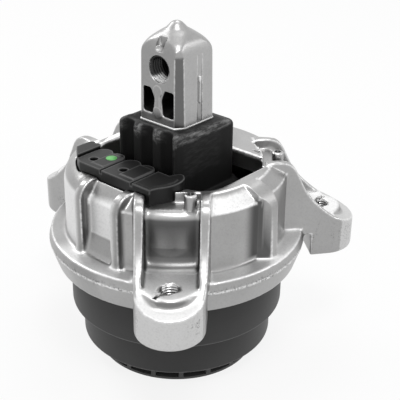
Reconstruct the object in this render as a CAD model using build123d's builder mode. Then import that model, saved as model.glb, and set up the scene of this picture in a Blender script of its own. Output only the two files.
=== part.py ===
from build123d import *
import math
import os

# Overall levels, measured up from the bottom of the vented base
cup_bottom = 8.9
tier_step = 26.3
flange_bottom = 48.4
flange_parting = 58.9
ledge_level = 63.3
housing_top = 96.4
finger_base = 115.0
finger_shoulder = 147.0

# Finger and core
finger_half = 11.6
finger_corner = 1.5
finger_chamfer = 2.8
finger_hole_r = 5.15
finger_hole_drop = 6.8
finger_hole_depth = 18.0
finger_sink_r = 6.5
finger_sink_depth = 1.2
# Roof of the finger: rise above the shoulder, half width, corner radius
roof_steps = [(0.0, 11.3, 1.6), (2.2, 10.9, 2.4), (4.0, 10.0, 2.8), (5.8, 8.6, 3.0), (8.0, 6.4, 2.8),
              (9.8, 4.4, 2.4), (11.3, 2.9, 2.0), (12.4, 1.3, 1.0)]
roof_notch_width = 4.4
roof_notch_depth = 3.0
roof_notch_rise = 1.8
pocket_foot = 4.6
pocket_height = 11.4
pocket_waist = 6.8
pocket_lean = 2.2
# Pockets beside each other: side, nearest and farthest edge from the middle
pocket_sides = [(-1, 2.6, 9.4), (1, 1.3, 7.9)]
pocket_depth = 9.0
side_groove_centre = 2.3
side_groove_width = 3.2
side_groove_depth = 0.5
core_neck_half = 10.2
core_neck_bottom = 98.0
core_neck_lap = 2.0
core_bell_r = 13.0
core_skirt_r = 20.0
core_skirt_level = 80.0
core_bottom_r = 11.0
core_bottom = 73.0

# Rubber spring
block_half_x = 17.0
block_half_y = 20.6
block_corner = 2.6
block_top_round = 2.6
block_bottom = 84.0
flute_r = 3.6
flute_inset = 0.6
flute_centre = 1.0
flute_pitch = 11.4
spring_shoulder_r = 27.5
spring_edge_top = 67.0
spring_edge_bottom = 58.5
spring_inner_r = 34.0
spring_inner_level = 60.5
spring_skin = 2.0

# Spring ring
ring_bore_r = 41.5
ring_top = 68.0
ring_flange_r = 50.0
ring_flange_thickness = 1.5
fit_gap = 0.2

# Housing shell
seat_level = 57.0
flange_bottom_r = 56.0
flange_parting_r = 59.5
ledge_r = 58.3
wall_r = 51.2
wall_round = 9.0
chamber_r = 43.0
chamber_break = 78.0
ceiling_r = 38.0
ceiling = 88.0
opening_half_x = 35.5
opening_near = -21.6
opening_far = 24.0
opening_near_corner = 12.0
opening_far_corner = 6.0
opening_edge_break = 1.0

# Legs and feet
leg_angles = (-49.8, 49.8, 180.0)
foot_half = 14.9
foot_inner_r = 61.0
foot_end_centre = 69.6
arm_bottom = 60.0
rib_thickness = 3.3
rib_flare = 1.4
rib_crest = [(38.0, 96.9), (45.0, 97.2), (49.4, 95.9), (53.9, 89.6), (58.5, 80.7), (64.3, 74.0), (71.5, 68.2),
             (79.0, 64.6), (86.0, 62.4)]
pad_level = 68.3
pad_round_r = 11.5
pad_round_centre = 66.8
pocket_wall_r = 49.5
pocket_foot_r = 56.5
pocket_foot_rise = 9.0
foot_hole_r = 3.4
foot_hole_centre = 68.5
foot_edge_round = 1.2
# Slit beside a foot's hole: leg, place along and across the leg, turn
pad_slits = [(-49.8, 72.7, -4.3, -28.0), (49.8, 69.9, 4.9, 41.0)]
pad_slit_size = (5.6, 1.2, 2.5)
shelf_inner_r = 39.0
shelf_round = 5.0

# Posts on the shelf
post_angles = (-40.4, 40.4)
post_centre_r = 45.6
post_r = 2.7
post_hole_r = 1.4
post_top = 99.4
post_hole_depth = 7.0

# How far the cuts run past the housing
clear_room = 20.0

# Panels between the legs
front_panel_y = -46.0
front_foot_y = -49.0
front_break = 72.5
front_rib_y = -50.6
front_rib_centres = (-12.0, 10.2)
front_rib_width = 4.8
frame_inner_y = -38.8
frame_inner_x = 39.0
panel_slope_y = -40.8
panel_top_low = 88.5
panel_top_high = 94.6
# Walls that stand back beside the ribs: from and to this angle, radius, level and radius of the top's slope
side_walls = [(-33.0, -1.0, 49.5, 90.6, 41.5), (5.0, 35.0, 50.0, 92.0, 43.0),
              (-78.0, -65.0, 49.5, 90.6, 41.5)]
side_rib_x = 54.7
side_rib_near = 1.5
side_rib_far = 5.6
side_rib_flank = 4.5
rib_top_round = 8.0
rim_slot_place = (23.4, 28.6)
rim_slot_size = (4.6, 1.0, 1.5)

# Limiter cap
cap_base = 92.4
cap_deck = 98.4
cap_left = -33.0
cap_back = -23.2
cap_front = -39.4
cap_outer_r = 45.0
cap_gap = 0.4
cap_groove = 0.9
cap_edges = (-25.0, -8.0, 10.4)
cap_panel_tops = (101.2, 100.2, 100.0)
# Rounded right end, from the front corner round to the back
cap_end = [(20.8, -39.4), (22.0, -35.0), (24.0, -31.0), (24.8, -27.0), (24.4, -23.0), (22.4, -19.6),
           (19.8, -18.4), (18.3, -20.0), (17.0, -23.2)]
cap_end_top = 99.8
# Lobes along the back edge: how far they stand out, and their radius as a share of their panel
cap_lobe_out = 1.7
cap_lobe_share = 0.27
cap_holes = [(-18.9, -33.3), (-1.5, -32.3)]
cap_hole_r = 1.9
cap_hole_depth = 4.0
cap_window = (16.0, 94.6, 5.6, 2.2)
cap_window_depth = 3.0

# Cup
cup_r = ring_flange_r
cup_wall = 2.8
cup_bore_r = cup_r - cup_wall
nozzle_r = cup_bore_r - fit_gap
tier_r = cup_r - 5.0
tier_wall = 2.6
cup_floor = 3.0
cup_ledge_r = tier_r - tier_wall
cup_hole_r = 33.6
cup_edge_break = 0.8

# Snap ring
snap_level = 51.5
snap_wire_r = 1.0
snap_play = 0.1
snap_split = 8.0

# Nozzle plates, decoupler and seal
nozzle_split = 51.0
nozzle_bottom = 43.5
track_inner_r = 31.0
track_outer_r = 39.0
track_floor = 45.5
track_dam_width = 6.0
decoupler_r = 24.0
decoupler_half = 1.5
decoupler_play = 0.3
grid_hole_r = 2.0
track_slot_angle = 12.0
track_slot_width = 6.0
track_slot_length = 4.5
seal_wire_r = 1.15
seal_play = 0.1
seal_level = 47.4

# Bellows and its ring
bellows_lip = 2.3
bellows_wall = 1.6
bellows_floor = 24.0
bellows_clear = 0.5
bellows_fold = 4.0
bellows_floor_r = 26.0

# Vented base
vent_r = 37.5
vent_inner_r = 30.0
vent_floor = 1.2
vent_cap = 1.6
vent_wall_top = 4.2
vent_ribs = 18
vent_rib_width = 2.2
vent_rib_start = -44.5
vent_neck = 4.0

os.makedirs("parts", exist_ok=True)

finger_height = finger_shoulder - finger_base
finger_hole_level = finger_shoulder - finger_hole_drop
pocket_bottom = finger_base + pocket_foot
pocket_top = pocket_bottom + pocket_height


def upright(angle):
    """Plane through the axis that faces across the given direction."""
    turn = math.radians(angle)
    return Plane(origin=(0, 0, 0), x_dir=(math.cos(turn), math.sin(turn), 0),
                 z_dir=(math.sin(turn), -math.cos(turn), 0))


# Core with its finger
with BuildPart() as core:
    with BuildSketch(Plane.XY.offset(finger_base)):
        RectangleRounded(2 * finger_half, 2 * finger_half, finger_corner)
    with BuildSketch(Plane.XY.offset(finger_shoulder)):
        RectangleRounded(2 * roof_steps[0][1], 2 * roof_steps[0][1], finger_corner)
    loft()
    for rise, half, corner in roof_steps:
        with BuildSketch(Plane.XY.offset(finger_shoulder + rise)):
            RectangleRounded(2 * half, 2 * half, corner)
    loft()
    # Flat on the corner between the hole's face and the right face
    cut_reach = finger_half * math.sqrt(2) - finger_chamfer / math.sqrt(2)
    with BuildSketch(Plane.XY.offset(finger_base)):
        with Locations(Rotation(0, 0, -45)):
            with Locations((cut_reach + finger_half, 0)):
                Rectangle(2 * finger_half, 4 * finger_half)
    extrude(amount=finger_height, mode=Mode.SUBTRACT)
    # Neck and bell inside the rubber
    with BuildSketch(Plane.XY.offset(core_neck_bottom)):
        RectangleRounded(2 * core_neck_half, 2 * core_neck_half, finger_corner)
    extrude(amount=finger_base - core_neck_bottom)
    with BuildSketch(Plane.XZ):
        with BuildLine():
            Polyline((0, core_bottom), (core_bottom_r, core_bottom), (core_skirt_r, core_skirt_level),
                     (core_bell_r, block_bottom), (core_bell_r, core_neck_bottom + core_neck_lap),
                     (0, core_neck_bottom + core_neck_lap), close=True)
        make_face()
    revolve(axis=Axis.Z)
    # Threaded hole with its countersink
    with Locations(Plane(origin=(0, -finger_half, finger_hole_level), z_dir=(0, -1, 0))):
        Cylinder(finger_hole_r, 2 * finger_hole_depth, mode=Mode.SUBTRACT)
    hole_face = Plane(origin=(0, -finger_half + finger_sink_depth, finger_hole_level), z_dir=(0, -1, 0))
    with BuildSketch(hole_face):
        Circle(finger_hole_r)
    with BuildSketch(hole_face.offset(finger_sink_depth)):
        Circle(finger_sink_r)
    loft(mode=Mode.SUBTRACT)
    # Two casting pockets under the hole, narrowest at their waist
    with BuildSketch(Plane(origin=(0, -finger_half, 0), x_dir=(1, 0, 0), z_dir=(0, -1, 0))) as pockets:
        for side, near, far in pocket_sides:
            with BuildLine():
                Polyline((side * (near + pocket_lean), pocket_top), (side * far, pocket_top),
                         (side * far, pocket_bottom), (side * (near + pocket_lean / 2), pocket_bottom),
                         (side * near, pocket_bottom + pocket_waist), close=True)
            make_face()
        fillet(pockets.vertices(), 1.0)
    extrude(amount=-pocket_depth, mode=Mode.SUBTRACT)
    # Notch in the roof over the hole
    with Locations((0, -roof_steps[0][1], finger_shoulder + roof_notch_rise)):
        Box(roof_notch_width, 2 * roof_notch_depth, 2 * roof_notch_depth,
            align=(Align.CENTER, Align.CENTER, Align.MIN), mode=Mode.SUBTRACT)
    # Shallow groove down the right face
    with Locations((finger_half, side_groove_centre, finger_base)):
        Box(2 * side_groove_depth, side_groove_width, finger_height,
            align=(Align.CENTER, Align.CENTER, Align.MIN), mode=Mode.SUBTRACT)
core.part.label = "core"
export_step(core.part, "parts/core.step")
print("core", round(core.part.volume), len(core.solids()))

# Rubber block round the core, with the conical spring below it
with BuildPart() as main_spring:
    with BuildSketch(Plane.XY.offset(block_bottom)):
        RectangleRounded(2 * block_half_x, 2 * block_half_y, block_corner)
    extrude(amount=finger_base - block_bottom)
    fillet(main_spring.faces().sort_by(Axis.Z)[-1].edges(), block_top_round)
    # Upright flutes on the side that faces the limiter cap
    with BuildSketch(Plane.XY.offset(block_bottom)):
        with Locations((flute_centre, -block_half_y - flute_inset)):
            with GridLocations(flute_pitch, 1, 3, 1):
                Circle(flute_r)
    extrude(amount=finger_base - block_bottom, mode=Mode.SUBTRACT)
    with BuildSketch(Plane.XZ):
        with BuildLine():
            skin_bottom = core_bottom - spring_skin
            Polyline((0, skin_bottom), (core_bottom_r + spring_skin, skin_bottom),
                     (spring_inner_r, spring_inner_level), (ring_bore_r, spring_edge_bottom),
                     (ring_bore_r, spring_edge_top), (spring_shoulder_r, block_bottom), (0, block_bottom),
                     close=True)
        make_face()
    revolve(axis=Axis.Z)
    add(core.part, mode=Mode.SUBTRACT)
main_spring.part.label = "main_spring"
export_step(main_spring.part, "parts/main_spring.step")

# Outer ring that the spring is bonded to
with BuildPart() as spring_ring:
    with BuildSketch(Plane.XZ):
        with BuildLine():
            ring_seat = seat_level - ring_flange_thickness
            Polyline((ring_bore_r, ring_seat), (ring_flange_r, ring_seat), (ring_flange_r, seat_level),
                     (chamber_r - fit_gap, seat_level), (chamber_r - fit_gap, ring_top),
                     (ring_bore_r, ring_top), close=True)
        make_face()
    revolve(axis=Axis.Z)
spring_ring.part.label = "spring_ring"
export_step(spring_ring.part, "parts/spring_ring.step")

# Leg along +X: a foot, an arm and two ribs that rise to the housing's top
with BuildPart() as leg:
    with BuildSketch(Plane.XZ):
        with BuildLine():
            Spline(*rib_crest)
            Polyline(rib_crest[-1], (rib_crest[-1][0], flange_bottom), (foot_inner_r, flange_bottom),
                     (foot_inner_r, arm_bottom), (rib_crest[0][0], arm_bottom), rib_crest[0])
        make_face()
    extrude(amount=foot_half + rib_flare, both=True)
    with BuildSketch(Plane.XY.offset(flange_bottom)):
        with BuildLine():
            root = rib_crest[0][0]
            Polyline((foot_end_centre, foot_half), (root, foot_half + rib_flare),
                     (root, -foot_half - rib_flare), (foot_end_centre, -foot_half))
            ThreePointArc((foot_end_centre, -foot_half), (foot_end_centre + foot_half, 0),
                          (foot_end_centre, foot_half))
        make_face()
    extrude(amount=housing_top, mode=Mode.INTERSECT)
    fillet(leg.faces().sort_by(Axis.Z)[0].edges(), foot_edge_round)

# Space between a leg's ribs, cut from the leg and from the shell behind it
with BuildPart() as leg_pocket:
    with BuildSketch(Plane.XZ):
        with BuildLine():
            clear_top = housing_top + clear_room
            clear_r = foot_end_centre + foot_half + clear_room
            shelf_edge = (pocket_wall_r - shelf_round, cap_base)
            wall_start = (pocket_wall_r, cap_base - shelf_round)
            wall_end = (pocket_wall_r, pad_level + pocket_foot_rise)
            floor_start = (pocket_foot_r, pad_level)
            Polyline(floor_start, (clear_r, pad_level), (clear_r, clear_top), (shelf_inner_r, clear_top),
                     (shelf_inner_r, cap_base), shelf_edge)
            RadiusArc(shelf_edge, wall_start, shelf_round)
            Line(wall_start, wall_end)
            Bezier(wall_end, (pocket_wall_r, pad_level), floor_start)
        make_face()
    revolve(axis=Axis.Z)
    with BuildSketch(Plane.XY.offset(pad_level)):
        with Locations((clear_r / 2, 0)):
            Rectangle(clear_r, 2 * (foot_half - rib_thickness))
    extrude(amount=clear_top, mode=Mode.INTERSECT)

# Pad round the foot's hole
with BuildPart() as pad:
    with BuildSketch(Plane.XY.offset(arm_bottom)):
        with Locations((pad_round_centre, 0)):
            Circle(pad_round_r)
    extrude(amount=pad_level - arm_bottom)

# Arched rib on the right-front side, with its slanted flank
with BuildPart() as side_rib:
    with BuildSketch(Plane.XZ):
        with BuildLine():
            round_x = side_rib_x - rib_top_round
            round_z = housing_top - rib_top_round
            Polyline((side_rib_x, round_z), (side_rib_x, arm_bottom), (frame_inner_x, arm_bottom),
                     (frame_inner_x, housing_top), (round_x, housing_top))
            RadiusArc((round_x, housing_top), (side_rib_x, round_z), rib_top_round)
        make_face()
    extrude(amount=side_rib_x, both=True)
    with BuildSketch(Plane.XY.offset(arm_bottom)):
        Polygon((frame_inner_x, side_rib_near - side_rib_flank),
                (side_rib_x - side_rib_flank, side_rib_near - side_rib_flank), (side_rib_x, side_rib_near),
                (side_rib_x, side_rib_far), (frame_inner_x, side_rib_far), align=None)
    extrude(amount=housing_top, mode=Mode.INTERSECT)

# Recess that takes the limiter cap
with BuildPart() as cap_seat:
    with BuildSketch(Plane.XY.offset(cap_base)):
        Circle(cap_outer_r + cap_gap)
        cap_right = max(x for x, y in cap_end)
        Polygon((cap_left - cap_gap, cap_front - cap_gap), (cap_right + cap_gap, cap_front - cap_gap),
                (cap_right + cap_gap, 0), (cap_left - cap_gap, 0), align=None, mode=Mode.INTERSECT)
    extrude(amount=clear_top - cap_base)

# Housing
with BuildPart() as housing:
    # Flange ring and barrel
    with BuildSketch(Plane.XZ):
        with BuildLine():
            round_start = housing_top - wall_round
            Polyline((0, housing_top), (0, flange_bottom), (flange_bottom_r, flange_bottom),
                     (flange_parting_r, flange_parting), (ledge_r, ledge_level), (wall_r, ledge_level),
                     (wall_r, round_start))
            RadiusArc((wall_r, round_start), (wall_r - wall_round, housing_top), -wall_round)
            Line((wall_r - wall_round, housing_top), (0, housing_top))
        make_face()
    revolve(axis=Axis.Z)
    for near, far, back_r, break_level, slope_r in side_walls:
        with BuildSketch(upright(near)):
            Polygon((back_r, ledge_level), (clear_r, ledge_level), (clear_r, clear_top), (slope_r, clear_top),
                    (slope_r, housing_top), (back_r, break_level), align=None)
        revolve(axis=Axis.Z, revolution_arc=far - near, mode=Mode.SUBTRACT)
    # Panel on the left-front side, between its two ribs
    panel_left = front_rib_centres[0]
    panel_right = front_rib_centres[1]
    with BuildSketch(Plane.YZ.offset(panel_left)):
        Polygon((frame_inner_y, clear_top), (frame_inner_y, housing_top), (panel_slope_y, panel_top_high),
                (front_panel_y, panel_top_low), (front_panel_y, front_break), (front_foot_y, ledge_level),
                (-clear_r, ledge_level), (-clear_r, clear_top), align=None)
    extrude(amount=panel_right - panel_left, mode=Mode.SUBTRACT)
    for centre in front_rib_centres:
        with BuildSketch(Plane.YZ.offset(centre)):
            with BuildLine():
                round_y = front_rib_y + rib_top_round
                Polyline((front_rib_y, round_z), (front_rib_y, arm_bottom), (frame_inner_y, arm_bottom),
                         (frame_inner_y, housing_top), (round_y, housing_top))
                RadiusArc((round_y, housing_top), (front_rib_y, round_z), -rib_top_round)
            make_face()
        extrude(amount=front_rib_width / 2, both=True)
    add(side_rib.part)
    # Three legs, each with the space between its ribs and the pad round its hole
    for angle in leg_angles:
        add(leg.part, rotation=(0, 0, angle))
    for angle in leg_angles:
        add(leg_pocket.part, rotation=(0, 0, angle), mode=Mode.SUBTRACT)
        add(pad.part, rotation=(0, 0, angle))
    # Posts beside the rim
    for angle in post_angles:
        with Locations(Plane.XY.rotated((0, 0, angle)) * Pos(post_centre_r, 0, cap_base)):
            Cylinder(post_r, post_top - cap_base, align=(Align.CENTER, Align.CENTER, Align.MIN))
    # Seat for the cup and the spring ring, with the chamber above
    with BuildSketch(Plane.XZ):
        seat_r = ring_flange_r + fit_gap
        Polygon((0, flange_bottom), (seat_r, flange_bottom), (seat_r, seat_level), (chamber_r, seat_level),
                (chamber_r, chamber_break), (ceiling_r, ceiling), (0, ceiling), align=None)
    revolve(axis=Axis.Z, mode=Mode.SUBTRACT)
    # Groove for the snap ring
    with BuildSketch(Plane.XZ):
        groove_half = snap_wire_r + snap_play
        snap_centre_r = cup_r + fit_gap / 2
        with Locations((snap_centre_r, snap_level)):
            Rectangle(2 * groove_half, 2 * groove_half)
    revolve(axis=Axis.Z, mode=Mode.SUBTRACT)
    # Opening round the rubber block, its edge broken at the top
    with BuildSketch(Plane.XY.offset(ceiling)) as opening:
        Polygon((-opening_half_x, opening_near), (opening_half_x, opening_near),
                (opening_half_x, opening_far), (-opening_half_x, opening_far), align=None)
        fillet(opening.vertices().group_by(Axis.Y)[0], opening_near_corner)
        fillet(opening.vertices().group_by(Axis.Y)[-1], opening_far_corner)
    extrude(amount=housing_top - ceiling, mode=Mode.SUBTRACT)
    with BuildSketch(Plane.XY.offset(housing_top - opening_edge_break)):
        add(opening.sketch.moved(Location((0, 0, -ceiling))))
    extrude(amount=opening_edge_break, taper=-45, mode=Mode.SUBTRACT)
    add(cap_seat.part, mode=Mode.SUBTRACT)
    # Holes of the feet and of the posts
    for angle in leg_angles:
        with Locations(Plane.XY.rotated((0, 0, angle)) * Pos(foot_hole_centre, 0, pad_level)):
            Hole(foot_hole_r, depth=pad_level - flange_bottom)
    for angle in post_angles:
        with Locations(Plane.XY.rotated((0, 0, angle)) * Pos(post_centre_r, 0, post_top)):
            Hole(post_hole_r, depth=post_hole_depth)
    for angle, along, across, turn in pad_slits:
        slit_place = Plane.XY.rotated((0, 0, angle)) * Pos(along, across, pad_level) * Rotation(0, 0, turn)
        with Locations(slit_place):
            Box(pad_slit_size[0], pad_slit_size[1], 2 * pad_slit_size[2], mode=Mode.SUBTRACT)
    with Locations((*rim_slot_place, housing_top)):
        Box(rim_slot_size[0], rim_slot_size[1], 2 * rim_slot_size[2], mode=Mode.SUBTRACT)
housing.part.label = "housing"
export_step(housing.part, "parts/housing.step")
print("housing", round(housing.part.volume), len(housing.solids()))

# Limiter cap over the left-front side of the opening
with BuildPart() as limiter_cap:
    with BuildSketch(Plane.XY.offset(cap_base)):
        with BuildLine():
            Polyline(cap_end[-1], (cap_left, cap_back), (cap_left, cap_front), cap_end[0])
            Spline(*cap_end)
        make_face()
    extrude(amount=cap_deck - cap_base)
    # Raised panels with grooves between them, each with two lobes along its back edge
    cap_starts = (cap_left,) + cap_edges
    for index, start in enumerate(cap_starts[:-1]):
        end = cap_starts[index + 1] - cap_groove
        lobe_r = cap_lobe_share * (end - start)
        lobe_y = cap_back + cap_lobe_out - lobe_r
        with BuildSketch(Plane.XY.offset(cap_base)):
            with Locations(*[(start + lobe_r, lobe_y), (end - lobe_r, lobe_y)]):
                Circle(lobe_r)
            with Locations((start, cap_front)):
                Rectangle(end - start, lobe_y - cap_front, align=(Align.MIN, Align.MIN))
        extrude(amount=cap_panel_tops[index] - cap_base)
    with BuildSketch(Plane.XY.offset(cap_deck)):
        with BuildLine():
            Polyline(cap_end[-1], (cap_edges[-1], cap_back), (cap_edges[-1], cap_front), cap_end[0])
            Spline(*cap_end)
        make_face()
    extrude(amount=cap_end_top - cap_deck)
    # Everything stays inside the housing's rim
    with BuildSketch(Plane.XY.offset(cap_base)):
        Circle(cap_outer_r)
    extrude(amount=housing_top, mode=Mode.INTERSECT)
    for spot in cap_holes:
        with Locations((spot[0], spot[1], cap_panel_tops[1])):
            Cylinder(cap_hole_r, 2 * cap_hole_depth, mode=Mode.SUBTRACT)
    # Window in the outer edge
    with Locations((cap_window[0], cap_front, cap_window[1])):
        Box(cap_window[2], 2 * cap_window_depth, cap_window[3], align=(Align.CENTER, Align.CENTER, Align.MIN),
            mode=Mode.SUBTRACT)
limiter_cap.part.label = "limiter_cap"
export_step(limiter_cap.part, "parts/limiter_cap.step")
print("limiter_cap", round(limiter_cap.part.volume), len(limiter_cap.solids()))

# Cup in two tiers
with BuildPart() as cup:
    cup_top = seat_level - ring_flange_thickness
    with BuildSketch(Plane.XZ):
        with BuildLine():
            Polyline((cup_hole_r, cup_bottom), (tier_r - cup_edge_break, cup_bottom),
                     (tier_r, cup_bottom + cup_edge_break), (tier_r, tier_step),
                     (cup_r - cup_edge_break, tier_step), (cup_r, tier_step + cup_edge_break),
                     (cup_r, cup_top), (cup_bore_r, cup_top), (cup_bore_r, tier_step + cup_floor),
                     (cup_ledge_r, tier_step + cup_floor), (cup_ledge_r, cup_bottom + cup_floor),
                     (cup_hole_r, cup_bottom + cup_floor), close=True)
        make_face()
        with Locations((snap_centre_r, snap_level)):
            Rectangle(2 * groove_half, 2 * groove_half, mode=Mode.SUBTRACT)
    revolve(axis=Axis.Z)
cup.part.label = "cup"
export_step(cup.part, "parts/cup.step")

# Wire ring that locks the cup in the flange
with BuildPart() as snap_ring:
    with BuildSketch(Plane.XZ):
        with Locations((snap_centre_r, snap_level)):
            Circle(snap_wire_r)
    revolve(axis=Axis.Z, revolution_arc=360 - snap_split)
snap_ring.part.label = "snap_ring"
export_step(snap_ring.part, "parts/snap_ring.step")

# Upper half of the nozzle plate
with BuildPart() as nozzle_upper:
    with BuildSketch(Plane.XY.offset(nozzle_split)):
        Circle(nozzle_r)
    extrude(amount=cup_top - nozzle_split)
    with BuildSketch(Plane.XY.offset(nozzle_split)):
        Circle(decoupler_r + decoupler_play)
    extrude(amount=decoupler_half + decoupler_play, mode=Mode.SUBTRACT)
    with BuildSketch(Plane.XY.offset(nozzle_split)):
        with PolarLocations(0.4 * decoupler_r, 6):
            Circle(grid_hole_r)
        with PolarLocations(0.8 * decoupler_r, 12):
            Circle(grid_hole_r)
        # Way into the track
        with PolarLocations((track_inner_r + track_outer_r) / 2, 1, track_slot_angle):
            Rectangle(track_slot_width, track_slot_length)
    extrude(amount=cup_top - nozzle_split, mode=Mode.SUBTRACT)
nozzle_upper.part.label = "nozzle_upper"
export_step(nozzle_upper.part, "parts/nozzle_upper.step")

# Lower half of the nozzle plate with the inertia track
with BuildPart() as nozzle_lower:
    with BuildSketch(Plane.XY.offset(nozzle_bottom)):
        Circle(nozzle_r)
    extrude(amount=nozzle_split - nozzle_bottom)
    with BuildSketch(Plane.XY.offset(track_floor)):
        Circle(track_outer_r)
        Circle(track_inner_r, mode=Mode.SUBTRACT)
        with Locations(((track_inner_r + track_outer_r) / 2, 0)):
            Rectangle(2 * (track_outer_r - track_inner_r), track_dam_width, mode=Mode.SUBTRACT)
    extrude(amount=nozzle_split - track_floor, mode=Mode.SUBTRACT)
    with BuildSketch(Plane.XY.offset(nozzle_split)):
        Circle(decoupler_r + decoupler_play)
    extrude(amount=-decoupler_half - decoupler_play, mode=Mode.SUBTRACT)
    with BuildSketch(Plane.XY.offset(nozzle_bottom)):
        with PolarLocations(0.4 * decoupler_r, 6):
            Circle(grid_hole_r)
        with PolarLocations(0.8 * decoupler_r, 12):
            Circle(grid_hole_r)
        # Way out of the track
        with PolarLocations((track_inner_r + track_outer_r) / 2, 1, -track_slot_angle):
            Rectangle(track_slot_width, track_slot_length)
    extrude(amount=nozzle_split - nozzle_bottom, mode=Mode.SUBTRACT)
    with BuildSketch(Plane.XZ):
        seal_centre_r = cup_bore_r - seal_play - seal_wire_r
        groove_depth = nozzle_r - seal_centre_r + seal_wire_r + seal_play
        with Locations((nozzle_r, seal_level)):
            Rectangle(2 * groove_depth, 2 * (seal_wire_r + seal_play))
    revolve(axis=Axis.Z, mode=Mode.SUBTRACT)
nozzle_lower.part.label = "nozzle_lower"
export_step(nozzle_lower.part, "parts/nozzle_lower.step")
print("nozzle", round(nozzle_upper.part.volume), round(nozzle_lower.part.volume))

# Decoupler disc between the plates
with BuildPart() as decoupler:
    with Locations((0, 0, nozzle_split)):
        Cylinder(decoupler_r, 2 * decoupler_half)
decoupler.part.label = "decoupler"
export_step(decoupler.part, "parts/decoupler.step")

# Seal in the lower plate's groove
with BuildPart() as nozzle_seal:
    with BuildSketch(Plane.XZ):
        with Locations((seal_centre_r, seal_level)):
            Circle(seal_wire_r)
    revolve(axis=Axis.Z)
nozzle_seal.part.label = "nozzle_seal"
export_step(nozzle_seal.part, "parts/nozzle_seal.step")

# Bellows under the plates
with BuildPart() as bellows:
    with BuildSketch(Plane.XZ):
        with BuildLine():
            lip_bottom = nozzle_bottom - bellows_lip
            bowl_r = cup_ledge_r - bellows_clear
            fold_r = bowl_r - bellows_fold
            Polyline((0, bellows_floor), (bellows_floor_r, bellows_floor),
                     (fold_r, lip_bottom - bellows_fold), (bowl_r, lip_bottom), (nozzle_r, lip_bottom),
                     (nozzle_r, nozzle_bottom), (bowl_r - bellows_wall, nozzle_bottom),
                     (fold_r - bellows_wall, nozzle_bottom - bellows_fold),
                     (bellows_floor_r - bellows_wall, bellows_floor + bellows_wall),
                     (0, bellows_floor + bellows_wall), close=True)
        make_face()
    revolve(axis=Axis.Z)
bellows.part.label = "bellows"
export_step(bellows.part, "parts/bellows.step")

# Ring that holds the bellows' lip
with BuildPart() as bellows_ring:
    with BuildSketch(Plane.XZ):
        Polygon((cup_ledge_r, tier_step + cup_floor), (nozzle_r, tier_step + cup_floor),
                (nozzle_r, lip_bottom), (cup_ledge_r, lip_bottom), align=None)
    revolve(axis=Axis.Z)
bellows_ring.part.label = "bellows_ring"
export_step(bellows_ring.part, "parts/bellows_ring.step")

# Vented base under the cup
with BuildPart() as vent_base:
    neck_r = cup_hole_r - fit_gap
    with BuildSketch(Plane.XZ):
        Polygon((0, 0), (vent_r, 0), (vent_r, vent_floor), (neck_r, vent_floor), (neck_r, vent_wall_top),
                (vent_inner_r, vent_wall_top), (vent_inner_r, vent_floor), (0, vent_floor), align=None)
        neck_top = cup_bottom + vent_neck
        Polygon((vent_inner_r, cup_bottom - vent_cap), (vent_r, cup_bottom - vent_cap),
                (vent_r, cup_bottom), (neck_r, cup_bottom), (neck_r, neck_top), (vent_inner_r, neck_top),
                align=None)
    revolve(axis=Axis.Z)
    with BuildSketch():
        with PolarLocations((vent_inner_r + vent_r) / 2, vent_ribs, vent_rib_start):
            Rectangle(vent_r - vent_inner_r + 2, vent_rib_width)
        Circle(vent_r, mode=Mode.INTERSECT)
        Circle(vent_inner_r, mode=Mode.SUBTRACT)
    extrude(amount=cup_bottom)
vent_base.part.label = "vent_base"
export_step(vent_base.part, "parts/vent_base.step")
print("bellows", round(bellows.part.volume), "vent_base", round(vent_base.part.volume))
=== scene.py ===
import math
import bmesh
import bpy
from mathutils import Matrix, Vector
from mathutils.kdtree import KDTree


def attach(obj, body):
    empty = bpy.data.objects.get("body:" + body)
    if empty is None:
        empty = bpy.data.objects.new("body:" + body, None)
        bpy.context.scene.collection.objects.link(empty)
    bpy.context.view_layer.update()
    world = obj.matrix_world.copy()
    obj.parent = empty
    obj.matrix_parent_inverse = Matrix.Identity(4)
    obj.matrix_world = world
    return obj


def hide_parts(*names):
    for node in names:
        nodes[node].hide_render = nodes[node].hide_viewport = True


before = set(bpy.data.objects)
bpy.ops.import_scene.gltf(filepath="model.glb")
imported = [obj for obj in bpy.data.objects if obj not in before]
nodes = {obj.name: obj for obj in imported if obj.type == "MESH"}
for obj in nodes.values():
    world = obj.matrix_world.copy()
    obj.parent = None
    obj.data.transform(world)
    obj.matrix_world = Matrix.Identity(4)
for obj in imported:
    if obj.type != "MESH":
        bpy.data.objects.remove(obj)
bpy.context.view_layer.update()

mm = 0.001


# A shader socket that can be added, multiplied and so on
class Wire:
    def __init__(self, maker, socket):
        self.maker = maker
        self.socket = socket

    def math(self, operation, *others):
        values = dict(enumerate((self,) + others))
        return self.maker.node("ShaderNodeMath", {"operation": operation}, values)

    def __add__(self, other):
        return self.math("ADD", other)

    def __radd__(self, other):
        return self.math("ADD", other)

    def __sub__(self, other):
        return self.math("SUBTRACT", other)

    def __rsub__(self, other):
        return self.maker.node("ShaderNodeMath", {"operation": "SUBTRACT"}, {0: other, 1: self})

    def __mul__(self, other):
        return self.math("MULTIPLY", other)

    def __rmul__(self, other):
        return self.math("MULTIPLY", other)

    def clamp(self):
        return self.maker.node("ShaderNodeClamp", {}, {0: self})


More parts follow.
